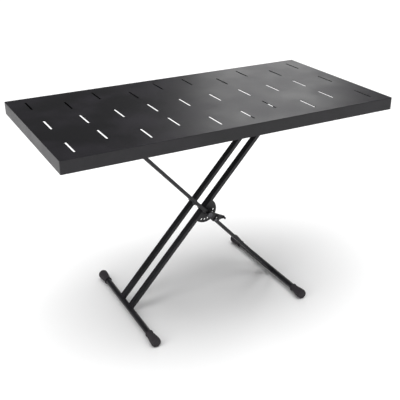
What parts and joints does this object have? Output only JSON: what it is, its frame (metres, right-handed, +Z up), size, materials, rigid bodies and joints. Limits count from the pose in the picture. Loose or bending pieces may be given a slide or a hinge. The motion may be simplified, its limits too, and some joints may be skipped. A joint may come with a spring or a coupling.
{
  "type": "slotted pedalboard on folding X stand",
  "caption": "Wide sheet-steel board with rows of strap slots, seated on a double-braced folding X stand with rubber caps, a hub lock plate and a release lever.",
  "frame": {"origin": "on the floor under the middle of the board, where the caps of the feet stand", "axes": "+X along the board's length to the right, +Y away from the player, +Z up"},
  "size_m": [1.2, 0.6, 0.7714],
  "materials": {
    "board_coat": "satin",
    "frame_coat": "satin",
    "cap_rubber": "matt",
    "fixings": "blackened zinc",
    "spring_steel": "bright"
  },
  "bodies": {
    "left_foot_caps": {"left_foot_front_cap": "cap_rubber", "left_foot_rear_cap": "cap_rubber"},
    "frame_a": {"left_foot_tube": "frame_coat", "frame_a_front_leg": "frame_coat", "frame_a_rear_leg": "frame_coat", "right_arm_tube": "frame_coat", "lock_plate": "frame_coat", "pivot_bolt": "fixings", "front_washer": "fixings", "front_spacer": "fixings", "middle_spacer": "fixings", "rear_spacer": "fixings", "rear_washer": "fixings", "pivot_nut": "fixings"},
    "frame_b": {"left_arm_tube": "frame_coat", "left_arm_front_cap": "cap_rubber", "left_arm_rear_cap": "cap_rubber", "frame_b_front_leg": "frame_coat", "frame_b_rear_leg": "frame_coat", "right_foot_tube": "frame_coat", "right_foot_front_cap": "cap_rubber", "right_foot_rear_cap": "cap_rubber", "lock_spring": "spring_steel"},
    "right_arm_caps": {"right_arm_front_cap": "cap_rubber", "right_arm_rear_cap": "cap_rubber"},
    "board": {"board_top": "board_coat", "front_rail": "board_coat", "rear_rail": "board_coat", "left_rail": "board_coat", "right_rail": "board_coat", "lap_screws": "fixings", "lap_nuts": "fixings"},
    "lever": {"release_lever": "frame_coat"},
    "pin": {"lock_pin": "fixings"}
  },
  "joints": [
    {"name": "leg_fold", "type": "hinge", "parent": "frame_a", "child": "frame_b", "pos_m": [0, 0, 0.35877], "axis": [0, 1, 0], "range_deg": [-42, 63]},
    {"name": "left_foot_roll", "type": "hinge", "parent": "left_foot_caps", "child": "frame_a", "pos_m": [-0.30899, 0, 0.018], "axis": [0, 1, 0], "range_deg": [-31.5, 21]},
    {"name": "arm_cap_roll", "type": "hinge", "parent": "frame_a", "child": "right_arm_caps", "pos_m": [0.32041, 0, 0.71213], "axis": [0, 1, 0], "range_deg": [-21, 31.5]},
    {"name": "board_lift", "type": "slide", "parent": "right_arm_caps", "child": "board", "axis": [0, 0, 1], "range_m": [0, 0.25]},
    {"name": "lever_squeeze", "type": "hinge", "parent": "frame_b", "child": "lever", "pos_m": [0, -0.07, 0.35877], "axis": [0, 1, 0], "range_deg": [0, 18], "stiffness_Nm_per_rad": 0.4, "springref_deg": -20.05},
    {"name": "pin_pull", "type": "slide", "parent": "frame_b", "child": "pin", "axis": [0, -1, 0], "range_m": [0, 0.005], "deforming": ["lock_spring"]}
  ],
  "couplings": [
    {"joint": "left_foot_roll", "follows": "leg_fold", "ratio": -0.5},
    {"joint": "arm_cap_roll", "follows": "leg_fold", "ratio": 0.5},
    {"joint": "pin_pull", "follows": "lever_squeeze", "m_per_rad": 0.015915}
  ]
}
